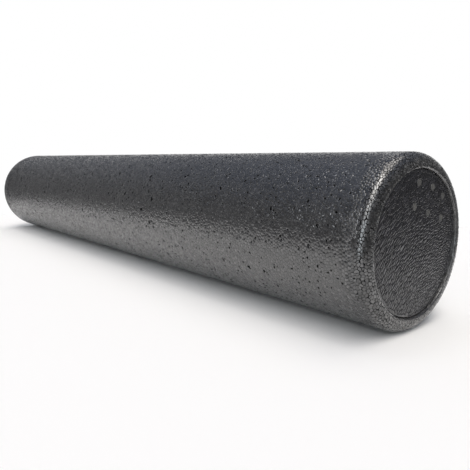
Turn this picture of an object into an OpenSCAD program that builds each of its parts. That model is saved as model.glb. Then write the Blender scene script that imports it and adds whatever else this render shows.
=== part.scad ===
// Foam massage roller lying on its side: a solid barrel of moulded bead foam with rounded
// ends, and a round end face sunk a little below the rim at each end.
// The roller's axis runs along X, the floor is Z = 0, and the origin is on the floor under
// the middle of the roller.

/* [Barrel] */

// Length over both ends
roller_length = 914.4; // [300:0.1:1200]
// Diameter of the barrel
roller_diameter = 152.4; // [100:0.1:200]
// Radius of the rounded edge around each end
edge_radius = 11.5; // [4:0.5:20]

/* [Ends] */

// Width of the rim between the rounded edge and the end disc
rim_width = 2.7; // [2.6:0.1:10]
// Radius of the round on the rim's inner edge
lip_radius = 1.2; // [0.4:0.1:2]
// Depth of the disc's face below the rim
disc_sink = 2.3; // [2.2:0.1:8]
// Thickness of the disc from its face to its seat in the barrel
disc_thickness = 12; // [4:0.5:40]
// Radius of the round on the disc's outer edge, which makes the seam around it
disc_edge_radius = 0.5; // [0.4:0.1:1.5]

/* [Vent marks] */

// Height above the disc's face of the round marks that steam vents leave there
vent_height = 0.4; // [0.2:0.1:0.8]
// Diameter of each vent mark, as a share of the disc's radius
vent_size_share = 0.105; // [0.05:0.001:0.12]
// Distance between neighbouring vent marks, as a share of the disc's radius
vent_pitch_share = 0.327; // [0.2:0.001:0.337]
// Distance from the roller's axis to the middle of the group, as a share of the disc's radius
vent_reach_share = 0.629; // [0.4:0.001:0.65]
// Angle of the middle of the group from straight up
vent_bearing = 26; // [-180:0.5:180]
// Turn of the group's rows from square to the line to the roller's axis
vent_slant = 10; // [-10:0.5:10]

/* [Hidden] */

$fn = 128;
foam_black = [0.075, 0.075, 0.08];
disc_black = [0.1, 0.1, 0.105];

barrel_radius = roller_diameter / 2;
half_length = roller_length / 2;
straight_half = half_length - edge_radius;
land_radius = barrel_radius - edge_radius;
recess_radius = land_radius - rim_width;
seat_depth = disc_sink + disc_thickness;
// Gap left all round the disc so that its side stays clear of the recess
disc_clearance = 0.1;
disc_radius = recess_radius - disc_clearance;
// How far each mark's foot goes down into the disc
vent_root = 1;
vent_diameter = disc_radius * vent_size_share;
vent_pitch = disc_radius * vent_pitch_share;
vent_reach = disc_radius * vent_reach_share;
vent_columns = [-1, 0, 1];
vent_rows = [-0.5, 0.5];

// Half of the barrel's section, from its middle at the bottom to its end at the top
module barrel_section() {
    difference() {
        union() {
            square([barrel_radius, straight_half]);
            square([land_radius, half_length]);
            translate([land_radius, straight_half])
                circle(edge_radius);
        }
        translate([0, half_length - seat_depth])
            square([recess_radius, seat_depth]);
        translate([recess_radius, half_length - lip_radius])
            square(lip_radius);
    }
    translate([recess_radius + lip_radius, half_length - lip_radius])
        circle(lip_radius);
}

// The barrel's section from end to end
module whole_section() {
    barrel_section();
    mirror([0, 1, 0])
        barrel_section();
}

// Section of an end disc, with its seat at the bottom and its face at the top
module disc_section() {
    inner_radius = disc_radius - disc_edge_radius;
    side_height = disc_thickness - disc_edge_radius;
    square([inner_radius, disc_thickness]);
    square([disc_radius, side_height]);
    intersection() {
        translate([inner_radius, side_height])
            circle(disc_edge_radius);
        square([disc_radius, disc_thickness]);
    }
}

// The group of vent marks, standing on the plane Z = 0
module vent_marks() {
    rotate([0, 0, -vent_bearing])
        translate([-vent_reach, 0, -vent_root])
            rotate([0, 0, vent_slant])
                for (row = vent_rows, column = vent_columns)
                    translate([-row * vent_pitch, column * vent_pitch, 0])
                        cylinder(d = vent_diameter, h = vent_root + vent_height);
}

// An end disc on its seat, facing +Z, with straight up on the roller along -X
module end_disc() {
    rotate_extrude()
        disc_section();
    translate([0, 0, disc_thickness])
        vent_marks();
}

module foam_body() {
    color(foam_black)
        translate([0, 0, barrel_radius])
            rotate([0, 90, 0])
                rotate_extrude()
                    whole_section();
}

module near_end_disc() {
    color(disc_black)
        translate([half_length - seat_depth, 0, barrel_radius])
            rotate([0, 90, 0])
                end_disc();
}

module far_end_disc() {
    mirror([1, 0, 0])
        near_end_disc();
}

foam_body();
near_end_disc();
far_end_disc();
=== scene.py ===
import math
import random

import bmesh
import bpy
from mathutils import Matrix, Vector, geometry, noise


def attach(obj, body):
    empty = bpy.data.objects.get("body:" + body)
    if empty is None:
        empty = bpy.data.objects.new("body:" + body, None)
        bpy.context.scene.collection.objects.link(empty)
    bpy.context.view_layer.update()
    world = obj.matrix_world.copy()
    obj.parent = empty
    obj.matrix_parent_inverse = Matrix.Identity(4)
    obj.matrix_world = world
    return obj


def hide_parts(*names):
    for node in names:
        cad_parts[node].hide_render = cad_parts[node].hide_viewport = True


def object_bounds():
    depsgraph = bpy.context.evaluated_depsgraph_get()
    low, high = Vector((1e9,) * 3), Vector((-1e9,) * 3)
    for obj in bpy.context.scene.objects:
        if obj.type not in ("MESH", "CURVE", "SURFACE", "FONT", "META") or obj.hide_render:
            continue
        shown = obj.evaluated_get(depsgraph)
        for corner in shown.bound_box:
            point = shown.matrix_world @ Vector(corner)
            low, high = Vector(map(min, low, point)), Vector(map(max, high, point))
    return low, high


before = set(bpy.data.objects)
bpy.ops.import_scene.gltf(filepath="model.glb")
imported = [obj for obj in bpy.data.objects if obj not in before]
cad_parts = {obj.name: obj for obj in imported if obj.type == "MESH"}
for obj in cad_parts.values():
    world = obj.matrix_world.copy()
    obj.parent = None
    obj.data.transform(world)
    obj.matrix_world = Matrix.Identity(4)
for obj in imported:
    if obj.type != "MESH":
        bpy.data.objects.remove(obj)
cad_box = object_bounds()

# The barrel is a block of black polypropylene beads, steamed together in a closed mould. The beads
# press flat against the mould and show as a mosaic of small pillows with a groove between each two,
# and here and there, where three of them meet, the foam didn't fill and left a pit.
half_length = round(cad_box[1].x, 5)
barrel_radius = round(cad_box[1].y, 5)
axis_height = barrel_radius
edge_radius = 0.0115
rim_width = 0.0027
lip_radius = 0.0012
lip_wave = 0.0006
lip_wave_scale = 40
lip_steps = 6
recess_depth = 0.005
land_radius = barrel_radius - edge_radius
recess_radius = land_radius - rim_width
straight = half_length - edge_radius
half_run = straight + edge_radius * math.pi / 2 + land_radius - recess_radius - lip_radius
beads_round = 154
bead_pitch = 0.00268
bead_rows = 2 * round(half_run / bead_pitch)
bead_jitter = 0.46
bead_lean = 0.00035
bead_sink = 0.00006
bead_sway = 0.0003
sway_scale = 260
sag_depth = 0.00014
sag_scale = 14
groove_depth = 0.00045
groove_least = 0.3
groove_mark = 0.82
loose_groove = 1.1
loose_mark = 0.06
flat_zone = 0.012
top_share = 0.88
top_drop = 0.00006
rim_top_drop = 0.00018
top_mark = 0.76
rim_top_mark = 0.72
slope_mark = 0.16
fade_share = 0.3
near_pit_share = 0.054
far_pit_share = 0.042
rim_pit_share = 0.4
pit_least = 0.6
pit_most = 1.25
rim_pit_least = 0.3
rim_pit_most = 0.8
loose_pit = 0.25
pit_depth = 0.00045
pit_room = 0.22
pit_edge = 0.25
lost_share = 0.007
lost_depth = 1.5 * pit_depth
lost_edge = 0.6
lost_tone = 0.5
meet_tone = 0.33
lip_mark_least = 0.3
bend_rate = 3
weld_distance = 1e-7
foam_seed = 36


def skin_point(run, turn):
    """A point of the skin, by its run from mid-length and over the end and its turn about the axis."""
    over = abs(run) - straight
    lean = min(max(over / edge_radius, 0), math.pi / 2)
    along = min(abs(run), straight) + edge_radius * math.sin(lean)
    out = land_radius + edge_radius * math.cos(lean) - max(over - edge_radius * math.pi / 2, 0)
    return Vector((math.copysign(along, run), out * math.sin(turn), axis_height + out * math.cos(turn)))


def between(start, end, share):
    """The value a share of the way from one value to another."""
    return start + (end - start) * share


def bend(point):
    """How far a point of the barrel has come onto the rounded end: 0 on the straight, then up to 1."""
    return min(max((abs(point.x) - straight) / edge_radius * bend_rate, 0), 1)


def sunk(point, depth):
    """The place on the barrel's skin nearest to a point, let in below the skin by a depth."""
    arm = Vector((0, point.y, point.z - axis_height))
    core = arm.normalized() * min(arm.length, land_radius)
    core.x = min(max(point.x, -straight), straight)
    core.z += axis_height
    return core + (point - core).normalized() * (edge_radius - depth)


def dip(point):
    """How far the skin has sagged at a point as the foam cooled. The rounded ends hold their shape."""
    broad = sag_depth * (0.5 + 0.5 * noise.noise(point * sag_scale))
    fine = bead_sway * (0.5 + 0.5 * noise.noise(point * sway_scale))
    return (broad + fine) * (1 - bend(point))


def looseness(point):
    """How poorly the beads are packed at a point: 0 at the near end, up to 1 at the far end."""
    return 0.5 - point.x / half_length / 2


def depth_at(point):
    """How far a point lies below the barrel's skin."""
    return (sunk(point, 0) - point).length


def flat_tops(bm, foam, spokes):
    """Put a ring of points around the middle of each bead, so that it can have a flat top.
    Gives each of these points, with the bead's middle and the foot of the groove beyond it."""
    for vert in bmesh.ops.subdivide_edges(bm, edges=spokes, cuts=1)["geom_inner"]:
        if isinstance(vert, bmesh.types.BMVert):
            ends = sorted((edge.other_vert(vert) for edge in vert.link_edges), key=lambda end: end[foam][0])
            yield vert, ends[0], ends[-1]


def make_beads(bm):
    """Turn a net of triangles into beads: a point of the net in the middle of each, and grooves
    between them that meet in the middles of the triangles. Returns the middles and the meeting points."""
    middles = bm.verts[:]
    net = [edge for edge in bm.edges if not edge.is_boundary]
    meets = bmesh.ops.poke(bm, faces=bm.faces[:])["verts"]
    for groove in bmesh.ops.rotate_edges(bm, edges=net)["edges"]:
        groove.smooth = False
    for face in bm.faces:
        face.smooth = True
    bm.normal_update()
    return middles, meets


# The colour named foam marks each point: how far it is in a groove and in a pit, its tone, and its share
# of a vent mark. The materials read it, and paint shade into the grooves and pits from the first two.
dice = random.Random(foam_seed)
shifts = [[(dice.uniform(-1, 1), dice.uniform(-1, 1)) for _ in range(beads_round)]
          for _ in range(bead_rows + 1)]
bm = bmesh.new()
foam = bm.verts.layers.float_color.new("foam")
bmesh.ops.create_grid(bm, x_segments=bead_rows, y_segments=beads_round, size=1)
for vert in bm.verts:
    row = round((vert.co.x + 1) / 2 * bead_rows)
    place = round((vert.co.y + 1) / 2 * beads_round)
    slip, swing = shifts[row][place % beads_round]
    slip *= 0 if row in (0, bead_rows) else bead_jitter
    turn = (place + row % 2 / 2 + bead_jitter * swing) * 2 * math.pi / beads_round
    vert.co = skin_point((2 * (row + slip) / bead_rows - 1) * half_run, turn)
bmesh.ops.remove_doubles(bm, verts=bm.verts[:], dist=weld_distance)
bmesh.ops.triangulate(bm, faces=bm.faces[:], quad_method="SHORT_EDGE")
bmesh.ops.beautify_fill(bm, faces=bm.faces[:], edges=bm.edges[:], method="ANGLE")
bmesh.ops.recalc_face_normals(bm, faces=bm.faces[:])
middles, meets = make_beads(bm)
for vert in middles:
    vert[foam] = (0, 0, dice.random() ** 2, 0)
    if not vert.is_boundary:
        across = vert.normal.cross((1, 0, 0)).normalized() * dice.uniform(-bead_lean, bead_lean)
        along = vert.normal.cross(across).normalized() * dice.uniform(-bead_lean, bead_lean)
        drop = dip(vert.co) + bead_sink * dice.random() * (1 - bend(vert.co))
        vert.co = sunk(vert.co + across + along, drop)
for vert in meets:
    bent = bend(vert.co)
    loose = looseness(vert.co)
    drop = dip(vert.co) + between(top_drop, rim_top_drop, bent)
    open_share = between(between(near_pit_share, far_pit_share, loose), rim_pit_share, bent)
    pit = 0
    if dice.random() < open_share:
        pit = dice.uniform(between(pit_least, rim_pit_least, bent), between(pit_most, rim_pit_most, bent))
        pit += loose_pit * loose * (1 - bent)
    vert[foam] = (between(groove_mark, 1, bent) - loose_mark * loose, pit, meet_tone, 0)
    groove = groove_depth * (1 + loose_groove * loose) * dice.uniform(groove_least, 1)
    vert.co = sunk(vert.co, drop + groove + pit_depth * pit)
# A few beads are lost: each sinks and is marked as a pit, so the material paints it and its edge near black
# as painted shade.
for vert in middles:
    if dice.random() < lost_share * looseness(vert.co) * (1 - bend(vert.co)):
        vert[foam] = (1, 1, lost_tone, 0)
        vert.co = sunk(vert.co, lost_depth)
        for edge in vert.link_edges:
            edge.other_vert(vert)[foam] = (1, lost_edge, lost_tone, 0)
spokes = [edge for edge in bm.edges if edge.smooth and not edge.is_boundary
          and min(abs(vert.co.x) for vert in edge.verts) > straight - flat_zone]
sharp = set()
for vert, top, foot in flat_tops(bm, foam, spokes):
    pit = foot[foam][1]
    bent = bend(top.co)
    away = max((straight - abs(top.co.x)) / flat_zone, 0) ** 2
    share = top_share - pit_room * pit - fade_share * away
    flat = depth_at(top.co) + between(top_drop, rim_top_drop, bent)
    slope = between(depth_at(top.co), depth_at(foot.co), share)
    vert.co = sunk(top.co.lerp(foot.co, share), between(flat, slope, away))
    vert[foam] = (between(top_mark, rim_top_mark, bent) - slope_mark * away, pit_edge * pit, top[foam][2], 0)
    if top[foam][2] < bent:
        sharp.add(vert)
for edge in bm.edges:
    edge.smooth = edge.smooth and not sharp.issuperset(edge.verts)
for side in (1, -1):
    ring = [edge for edge in bm.edges if edge.is_boundary and edge.verts[0].co.x * side > 0]
    curl = [k * math.pi / 2 / lip_steps for k in range(1, lip_steps + 1)]
    lip = [(lip_radius * (1 - math.cos(lean)), lip_radius * (1 - math.sin(lean))) for lean in curl]
    for depth, out in lip + [(recess_depth, 0)]:
        grown = bmesh.ops.extrude_edge_only(bm, edges=ring)["geom"]
        ring = [item for item in grown if isinstance(item, bmesh.types.BMEdge) and item.is_boundary]
        for vert in dict.fromkeys(vert for edge in ring for vert in edge.verts):
            turn = math.atan2(vert.co.y, vert.co.z - axis_height)
            around = Vector((math.sin(turn), math.cos(turn), side))
            wave = lip_wave * (0.5 + noise.noise(around * lip_wave_scale))
            wide = recess_radius + out + wave
            along = side * (half_length - depth - wave)
            vert.co = (along, wide * math.sin(turn), axis_height + wide * math.cos(turn))
            # The lip's points are marked partly as groove at random, so painted groove shade darkens them in
            # spots.
            vert[foam] = (dice.uniform(lip_mark_least, 1), 0, dice.random(), 0)
    bmesh.ops.holes_fill(bm, edges=ring, sides=0)
for face in bm.faces:
    face.smooth = True
bmesh.ops.recalc_face_normals(bm, faces=bm.faces[:])
mesh = bpy.data.meshes.new("bead_barrel")
bm.to_mesh(mesh)
bm.free()
barrel = bpy.data.objects.new("bead_barrel", mesh)
bpy.context.scene.collection.objects.link(barrel)


class Socket:
    """One output in a material's nodes, so that shader maths can be written as plain expressions."""

    def __init__(self, tree, out=None):
        self.tree = tree
        self.out = out

    def add(self, kind, settings, sockets, out=0):
        node = self.tree.nodes.new(kind)
        for name, value in settings.items():
            setattr(node, name, value)
        for name, value in sockets.items():
            if isinstance(value, Socket):
                self.tree.links.new(value.out, node.inputs[name])
            else:
                node.inputs[name].default_value = value
        return Socket(self.tree, node.outputs[out])

    def other(self, name):
        """Another output of the same node."""
        return Socket(self.tree, self.out.node.outputs[name])

    def math(self, operation, a, b):
        return self.add("ShaderNodeMath", {"operation": operation}, {0: a, 1: b})

    def __add__(self, other):
        return self.math("ADD", self, other)

    def __radd__(self, other):
        return self.math("ADD", other, self)

    def __sub__(self, other):
        return self.math("SUBTRACT", self, other)

    def __rsub__(self, other):
        return self.math("SUBTRACT", other, self)

    def __mul__(self, other):
        return self.math("MULTIPLY", self, other)

    def __rmul__(self, other):
        return self.math("MULTIPLY", other, self)

    def step(self, low, high):
        """0 below low, 1 above high and smooth between."""
        return self.add("ShaderNodeMapRange", {"interpolation_type": "SMOOTHSTEP"},
                        {"Value": self, "From Min": low, "From Max": high})

    def blend(self, a, b):
        """Colour a where this is 0 and colour b where it is 1."""
        return self.add("ShaderNodeMix", {"data_type": "RGBA"}, {0: self, 6: a, 7: b}, 2)


cloud_scale = 22.0
skin_scale = 1400.0
# Pits are painted near black: painted shade, where the hollows would lie in shade.
painted_pit_shade = (0.002, 0.002, 0.002, 1)
vent_pale = (0.10, 0.097, 0.09, 1)
groove_line = (0.6, 1.0)
pit_shade_range = (0.3, 0.7)
tone_shade = 1.15
cloud_shade = 0.5
skin_shade = 0.25
shade_start = 0.26
# How far the grooves' colour is darkened: painted shade.
painted_groove_shade = 0.7
# How metallic the grooves are. With their dark colour this takes their shine away: painted shade.
painted_groove_shade_metal = 0.6
skin_wear = 0.16
cloud_wear = 0.14
tone_wear = 0.12
line_wear = 0.2
hole_wear = 0.4
vent_wear = 0.15
vent_least = 0.6
vent_cloud = 0.8
line_relief = 0.8
least_coat = 0.65
tone_coat = 0.35
bump_height = 0.0003
bump_strength = 0.7
coat_roughness = 0.15
coat_ior = 1.8


def foam_finish(name, dark, light, gloss, shine, sheen, grain):
    """Black bead foam: a half-glossy skin on each bead, dull grooves, and pits. Grooves and pits get painted
    shade: a darker colour, near black in the pits, and metallic that takes their shine away.
    """
    material = bpy.data.materials.new(name)
    material.use_nodes = True
    tree = material.node_tree
    shader = tree.nodes["Principled BSDF"]
    start = Socket(tree)
    mark = start.add("ShaderNodeAttribute", {"attribute_name": "foam"}, {})
    vent = mark.other("Alpha")
    groove = start.add("ShaderNodeSeparateColor", {}, {0: mark})
    pit = groove.other("Green")
    tone = groove.other("Blue")
    place = start.add("ShaderNodeTexCoord", {}, {}, "Object")
    cloud = start.add("ShaderNodeTexNoise", {}, {"Vector": place, "Scale": cloud_scale, "Detail": 3.0})
    skin = start.add("ShaderNodeTexNoise", {}, {"Vector": place, "Scale": skin_scale, "Detail": 2.0})
    # Groove mask: it darkens the grooves' colour as painted shade.
    groove_shade_mask = groove.step(*groove_line)
    # Pit mask: it paints the pits near black as painted shade.
    pit_shade_mask = pit.step(*pit_shade_range)
    tint = tone * tone_shade + cloud * cloud_shade + skin * skin_shade - shade_start
    # The random tone of each bead, darkened in the grooves as painted shade.
    tone_and_groove_shade = tint * (1 - groove_shade_mask * painted_groove_shade)
    colour = pit_shade_mask.blend(tone_and_groove_shade.blend((*dark, 1), (*light, 1)), painted_pit_shade)
    pale = (vent * (vent_least + cloud * vent_cloud)).blend(colour, vent_pale)
    worn = gloss + skin_wear * (skin - 0.5) + cloud_wear * (cloud - 0.5) + tone_wear * (meet_tone - tone)
    rough = worn + line_wear * groove_shade_mask + hole_wear * pit_shade_mask + vent_wear * vent
    relief = skin * grain - groove_shade_mask * line_relief - pit_shade_mask
    bump = start.add("ShaderNodeBump", {}, {"Height": relief, "Strength": bump_strength,
                                              "Distance": bump_height})
    coat = (1 - groove_shade_mask) * (1 - pit_shade_mask) * (1 - vent) * (least_coat + tone_coat * tone) * sheen
    # Metallic on the dark pits and grooves takes their shine away: painted shade.
    painted_shade_metal = pit_shade_mask + (1 - pit_shade_mask) * groove_shade_mask * painted_groove_shade_metal
    varying = {"Base Color": pale, "Roughness": rough, "Metallic": painted_shade_metal, "Coat Weight": coat, "Normal": bump}
    for socket, value in varying.items():
        tree.links.new(value.out, shader.inputs[socket])
    shader.inputs["Specular IOR Level"].default_value = shine
    shader.inputs["Coat Roughness"].default_value = coat_roughness
    shader.inputs["Coat IOR"].default_value = coat_ior
    return material


barrel_foam = foam_finish("barrel_foam", dark=(0.0065, 0.0063, 0.0065), light=(0.052, 0.0505, 0.0505),
                          gloss=0.25, shine=0.78, sheen=0.85, grain=0.12)
barrel.data.materials.append(barrel_foam)
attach(barrel, "root")
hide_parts("foam_body")

# The two end faces lie a little below the rim. The beads there were dragged as the mould closed, so
# they are long and slanting, with a dull wrinkled skin, and steam vents left round marks on them.
# A narrow seam runs around each, where the moving end of the mould met its barrel.
disc_clearance = 0.0001
disc_sink = 0.0023
disc_radius = recess_radius - disc_clearance
disc_face = half_length - disc_sink
disc_edge = 0.0005
disc_edge_knee = 0.7
wrinkle_width = 0.0022
wrinkle_stretch = 2.8
wrinkle_bend = 0.115
wrinkle_lean = math.radians(32)
wrinkle_wave = 0.0011
wrinkle_wave_scale = 110
wrinkle_calm = 0.006
wrinkle_margin = 0.9
wrinkle_jitter = 0.5
row_height = math.sqrt(0.75)
net_reach = 1.3
wrinkle_depth = 0.0004
wrinkle_top = 0.6
wrinkle_drop = 0.3
wrinkle_least = 0.2
wrinkle_rise = 0.3
wrinkle_mark = 0.35
wrinkle_tone = 0.5
disc_pit_share = 0.012
disc_skirt = 0.0015
vent_radius = 0.00325
vent_height = 0.0004
vent_root = 0.0003
vent_edge = 0.0003
vent_rim_share = 0.4
vent_segments = 24
vent_edge_steps = 3
vent_side_mark = (0.2, 0, 0.6, 0.45)
vent_crown_mark = (0.2, 0, 0.6, 1)
vent_marks = [(-0.0066, 0.0315), (0.0149, 0.0250), (0.0369, 0.0193),
              (-0.0014, 0.0509), (0.0207, 0.0464), (0.0378, 0.0381)]
noise.seed_set(foam_seed)


def wrinkle_place(along, across):
    """A point of the end face, from its run along a wrinkle and its distance across the wrinkles."""
    turn = wrinkle_lean - along / wrinkle_bend
    heel = Vector((math.sin(wrinkle_lean), -math.cos(wrinkle_lean))) * wrinkle_bend
    return heel + Vector((-math.sin(turn), math.cos(turn))) * (wrinkle_bend + across)


def wrinkle_run(point):
    """The other way about: where a point of the end face lies along and across the wrinkles."""
    heel = Vector((math.sin(wrinkle_lean), -math.cos(wrinkle_lean))) * wrinkle_bend
    arm = point - heel
    turn = math.atan2(-arm.x, arm.y)
    return (wrinkle_lean - turn) * wrinkle_bend, arm.length - wrinkle_bend


def wrinkle_net(bm, dice):
    """A net of triangles over the end face, finer across the wrinkles than along them."""
    face_radius = disc_radius - disc_edge
    count = round(2 * math.pi * face_radius / wrinkle_width)
    turns = [k * 2 * math.pi / count for k in range(count)]
    ring = [Vector((math.cos(turn), math.sin(turn))) * face_radius for turn in turns]
    points = [Vector((along / wrinkle_stretch, across)) for along, across in map(wrinkle_run, ring)]
    rows = math.ceil(net_reach * face_radius / wrinkle_width)
    for row in range(-rows, rows + 1):
        for place in range(-rows, rows + 1):
            along = (place + row % 2 / 2 + dice.uniform(-wrinkle_jitter, wrinkle_jitter)) * wrinkle_width
            across = (row + dice.uniform(-wrinkle_jitter, wrinkle_jitter)) * wrinkle_width * row_height
            reach = wrinkle_place(along * wrinkle_stretch, across).length
            if reach < face_radius - wrinkle_width * wrinkle_margin:
                points.append(Vector((along, across)))
    edges = [(k, (k + 1) % count) for k in range(count)]
    points, _, triangles, *_ = geometry.delaunay_2d_cdt(points, edges, [], 1, weld_distance)
    corners = []
    for point in points:
        spot = wrinkle_place(point.x * wrinkle_stretch, point.y)
        inside = min(max((face_radius - spot.length) / wrinkle_calm, 0), 1)
        sway = noise.noise_vector(Vector((spot.x, spot.y, 0)) * wrinkle_wave_scale) * wrinkle_wave * inside
        corners.append(bm.verts.new((0, spot.x + sway.x, spot.y + sway.y)))
    for triangle in triangles:
        bm.faces.new([corners[k] for k in triangle])


def make_disc(name, node, side):
    """An end disc; side is 1 for the end towards +X and -1 for the other."""
    dice = random.Random(foam_seed + side)
    bm = bmesh.new()
    foam = bm.verts.layers.float_color.new("foam")
    wrinkle_net(bm, dice)
    bmesh.ops.recalc_face_normals(bm, faces=bm.faces[:])
    if sum(face.normal.x for face in bm.faces) < 0:
        bmesh.ops.reverse_faces(bm, faces=bm.faces[:])
    middles, meets = make_beads(bm)
    edge = {vert for vert in middles if vert.is_boundary}
    spokes = [spoke for spoke in bm.edges if spoke.smooth and not spoke.is_boundary]
    for vert in meets:
        # The meets are marked as grooves, and a few as pits, so they take the same painted shade as on the
        # barrel.
        vert[foam] = (1, 1 if dice.random() < disc_pit_share else 0, wrinkle_tone, 0)
        vert.co.x -= wrinkle_depth * dice.uniform(wrinkle_least, 1)
    for vert in middles:
        vert[foam] = (0, 0, dice.random() ** 2, 0)
        if vert not in edge:
            vert.co.x += wrinkle_depth * dice.uniform(0, wrinkle_rise)
    bm.normal_update()
    for vert, top, foot in flat_tops(bm, foam, spokes):
        vert.co = top.co.lerp(foot.co, wrinkle_top)
        vert.co.x = between(top.co.x, foot.co.x, wrinkle_drop)
        vert[foam] = (wrinkle_mark, 0, top[foam][2], 0)
    rim = [loop for loop in bm.edges if loop.is_boundary]
    wide_step = disc_edge * disc_edge_knee
    small_step = disc_edge - wide_step
    for out, down in ((wide_step, small_step), (small_step, wide_step), (0, disc_skirt)):
        grown = bmesh.ops.extrude_edge_only(bm, edges=rim)["geom"]
        ring = [item for item in grown if isinstance(item, bmesh.types.BMVert)]
        rim = [item for item in grown if isinstance(item, bmesh.types.BMEdge) and item.is_boundary]
        for vert in ring:
            wide = math.hypot(vert.co.y, vert.co.z)
            vert.co += Vector((-down, vert.co.y / wide * out, vert.co.z / wide * out))
    bmesh.ops.holes_fill(bm, edges=rim, sides=0)
    for across, up in vent_marks:
        place = Matrix.Translation((-vent_root, across, up)) @ Matrix.Rotation(math.pi / 2, 4, "Y")
        pad = bmesh.ops.create_circle(bm, cap_ends=True, segments=vent_segments, radius=vent_radius,
                                      matrix=place)["verts"]
        base = list(dict.fromkeys(face for vert in pad for face in vert.link_faces))
        top = bmesh.ops.extrude_face_region(bm, geom=base)["geom"]
        lifted = [item for item in top if isinstance(item, bmesh.types.BMVert)]
        bmesh.ops.translate(bm, verts=lifted, vec=(vent_height + vent_root, 0, 0))
        crown = [item for item in top if isinstance(item, bmesh.types.BMFace)]
        rounded = bmesh.ops.bevel(bm, geom=[side_edge for face in crown for side_edge in face.edges],
                                  offset=vent_edge, segments=vent_edge_steps, profile=0.5, affect="EDGES",
                                  material=-1)
        for vert in pad + lifted + rounded["verts"]:
            if vert.is_valid:
                vert[foam] = vent_side_mark
        around = dict.fromkeys(face for vert in rounded["verts"] for face in vert.link_faces)
        crown = [face for face in around if len(face.verts) > 4]
        bmesh.ops.inset_region(bm, faces=crown, thickness=vent_radius * vent_rim_share)
        for vert in {vert for face in crown for vert in face.verts}:
            vert[foam] = vent_crown_mark
    for face in bm.faces:
        face.smooth = True
    bmesh.ops.recalc_face_normals(bm, faces=bm.faces[:])
    end = Matrix.Translation((side * disc_face, 0, axis_height)) @ Matrix.Diagonal((side, 1, 1, 1))
    bmesh.ops.transform(bm, verts=bm.verts[:], matrix=end)
    if side < 0:
        bmesh.ops.reverse_faces(bm, faces=bm.faces[:])
    mesh = bpy.data.meshes.new(name)
    bm.to_mesh(mesh)
    bm.free()
    disc = bpy.data.objects.new(name, mesh)
    bpy.context.scene.collection.objects.link(disc)
    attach(disc, "root")
    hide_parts(node)
    return disc


disc_foam = foam_finish("disc_foam", dark=(0.0045, 0.0043, 0.005), light=(0.026, 0.025, 0.029),
                        gloss=0.20, shine=0.7, sheen=0.22, grain=0.2)
near_disc = make_disc("near_disc", "near_end_disc", 1)
far_disc = make_disc("far_disc", "far_end_disc", -1)
near_disc.data.materials.append(disc_foam)
far_disc.data.materials.append(disc_foam)

# The roller lies on a plain pale floor, the painted top of a round plinth in a grey studio. A white screen
# hangs behind it. A tall strip of soft lamps leans over the near end, and two small lamps on the ceiling
# and in front pick out the beads.
floor_radius = 0.71
plinth_height = 0.8
plinth_sides = 128
floor_white = (0.985, 0.972, 0.955, 1)
floor_roughness = 0.9
bm = bmesh.new()
bmesh.ops.create_cone(bm, cap_ends=True, segments=plinth_sides, radius1=floor_radius, radius2=floor_radius,
                      depth=plinth_height, matrix=Matrix.Translation((0, 0, -plinth_height / 2)))
floor_mesh = bpy.data.meshes.new("floor")
bm.to_mesh(floor_mesh)
bm.free()
floor = bpy.data.objects.new("floor", floor_mesh)
bpy.context.scene.collection.objects.link(floor)
floor_paint = bpy.data.materials.new("floor_paint")
floor_paint.use_nodes = True
matt = floor_paint.node_tree.nodes["Principled BSDF"]
matt.inputs["Base Color"].default_value = floor_white
matt.inputs["Roughness"].default_value = floor_roughness
matt.inputs["Specular IOR Level"].default_value = 0.0
floor.data.materials.append(floor_paint)

world = bpy.data.worlds.new("studio")
bpy.context.scene.world = world
world.use_nodes = True
room = Socket(world.node_tree)
way = room.add("ShaderNodeTexCoord", {}, {}, "Generated")


def facing(towards):
    """The cosine of the angle between a direction of the room and another one."""
    return room.add("ShaderNodeVectorMath", {"operation": "DOT_PRODUCT"},
                    {0: way, 1: Vector(towards).normalized()}, "Value")


def glow(towards, core, spread):
    """1 around one direction of the room and 0 away from it, by angles in degrees."""
    return facing(towards).step(math.cos(math.radians(spread)), math.cos(math.radians(core)))


wall_grey = (0.14, 0.14, 0.145, 1)
ceiling_grey = (0.19, 0.225, 0.31, 1)
ceiling_core = 25
ceiling_spread = 75
screen_white = (1, 1, 1, 1)
screen_middle = (-0.758, 0.634, 0)
screen_core = 30
screen_spread = 56
screen_top = (0.30, 0.42)
strip_foot = Vector((0.60, -0.80, 0.0))
strip_head = Vector((0.13, 0.10, 0.987))
strip_low_glow = (2.9, 3.12, 3.27, 1)
strip_high_glow = (2.8, 2.68, 2.56, 1)
strip_ends = (0.1, 0.5)
strip_low_end = (-0.25, -0.05)
strip_sides = (0.012, 0.11)
strip_warming = (0.2, 0.9)
high = facing((0, 0, 1))
aside = facing(strip_foot.cross(strip_head))
walls = glow((0, 0, 1), ceiling_core, ceiling_spread).blend(wall_grey, ceiling_grey)
strip_length = facing(strip_foot + strip_head).step(*strip_ends) * high.step(*strip_low_end)
strip = (1 - (aside * aside).step(*strip_sides)) * strip_length
lit = strip.blend(walls, high.step(*strip_warming).blend(strip_low_glow, strip_high_glow))
screen = glow(screen_middle, screen_core, screen_spread) * (1 - high.step(*screen_top))
backdrop = screen.blend(lit, screen_white)
sky = world.node_tree.nodes["Background"]
world.node_tree.links.new(backdrop.out, sky.inputs["Color"])
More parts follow.
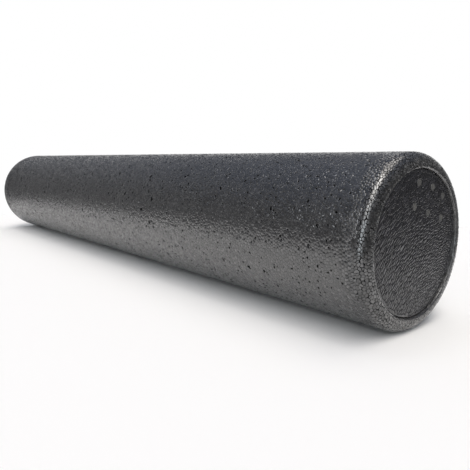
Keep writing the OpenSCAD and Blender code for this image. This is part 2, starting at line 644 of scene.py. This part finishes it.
sky.inputs["Strength"].default_value = 1


def soft_lamp(name, towards, level, spread, colour):
    """A wide lamp far off in one direction, with its spread in degrees."""
    lamp = bpy.data.lights.new(name, "SUN")
    lamp.energy = level
    lamp.angle = math.radians(spread)
    lamp.color = colour
    holder = bpy.data.objects.new(name, lamp)
    holder.rotation_euler = Vector(towards).to_track_quat("Z", "Y").to_euler()
    bpy.context.scene.collection.objects.link(holder)


strip_levels = (0.02, 0.05, 0.145, 0.26, 0.29)
strip_spread = 15
strip_lowest = 10
strip_spacing = 17
cool_light = Vector((0.90, 0.96, 1.0))
warm_light = Vector((1.0, 0.97, 0.93))
small_light = (0.92, 0.95, 1.0)
small_spread = 8
ceiling_level = 0.12
ceiling_way = (-0.28, -0.12, 0.95)
front_level = 0.13
front_way = (-0.30, -0.84, 0.45)
for step, level in enumerate(strip_levels):
    lift = math.radians(strip_lowest + strip_spacing * step)
    towards = strip_foot * math.cos(lift) + strip_head * math.sin(lift)
    warmth = step / (len(strip_levels) - 1)
    soft_lamp(f"strip_lamp_{step}", towards, level, strip_spread, cool_light.lerp(warm_light, warmth))
soft_lamp("ceiling_lamp", ceiling_way, ceiling_level, small_spread, small_light)
soft_lamp("front_lamp", front_way, front_level, small_spread, small_light)

# The camera stands where the photograph was taken from. Its place, its two angles and its focal length
# were fitted to the roller's outline in the picture.
camera_turn = math.radians(50.098)
camera_rise = math.radians(8.798)
camera_place = (0.66803, -0.37412, 0.14632)
focal_pixels = 494.95
picture_pixels = 470
sensor_width = 36
camera = bpy.data.objects.new("camera", bpy.data.cameras.new("camera"))
camera.data.lens = focal_pixels / picture_pixels * sensor_width
camera.data.sensor_width = sensor_width
camera.location = camera_place
level = math.cos(camera_rise)
back = Vector((math.sin(camera_turn) * level, -math.cos(camera_turn) * level, math.sin(camera_rise)))
camera.rotation_euler = (-back).to_track_quat("-Z", "Y").to_euler()
bpy.context.scene.collection.objects.link(camera)
bpy.context.scene.camera = camera
bpy.context.scene.view_settings.view_transform = "Standard"
